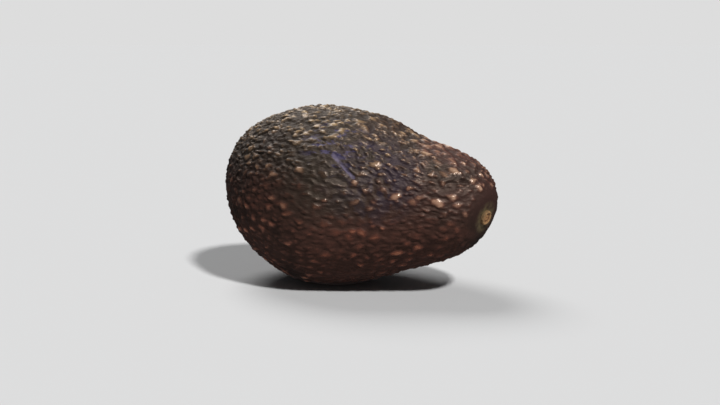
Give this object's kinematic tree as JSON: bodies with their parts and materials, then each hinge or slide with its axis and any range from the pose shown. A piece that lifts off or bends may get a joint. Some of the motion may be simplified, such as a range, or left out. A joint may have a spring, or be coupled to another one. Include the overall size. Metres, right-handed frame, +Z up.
{
  "type": "avocado",
  "caption": "Whole ripe avocado with a dark pebbled skin and a woody stem stub, lying on its belly on a small flat spot.",
  "frame": {"origin": "middle of the flat spot on the belly that the fruit rests on", "axes": "+Z up from the resting surface, +X along the fruit towards the stem end, +Y to the left of someone who looks along +X"},
  "size_m": [0.1064, 0.0692, 0.0677],
  "materials": {
    "skin": "satin, pebbled, dark purple-brown rind",
    "stem_wood": "dry, corky, unfinished"
  },
  "bodies": {
    "root": {"fruit": "skin", "stem_stub": "stem_wood"}
  },
  "joints": []
}
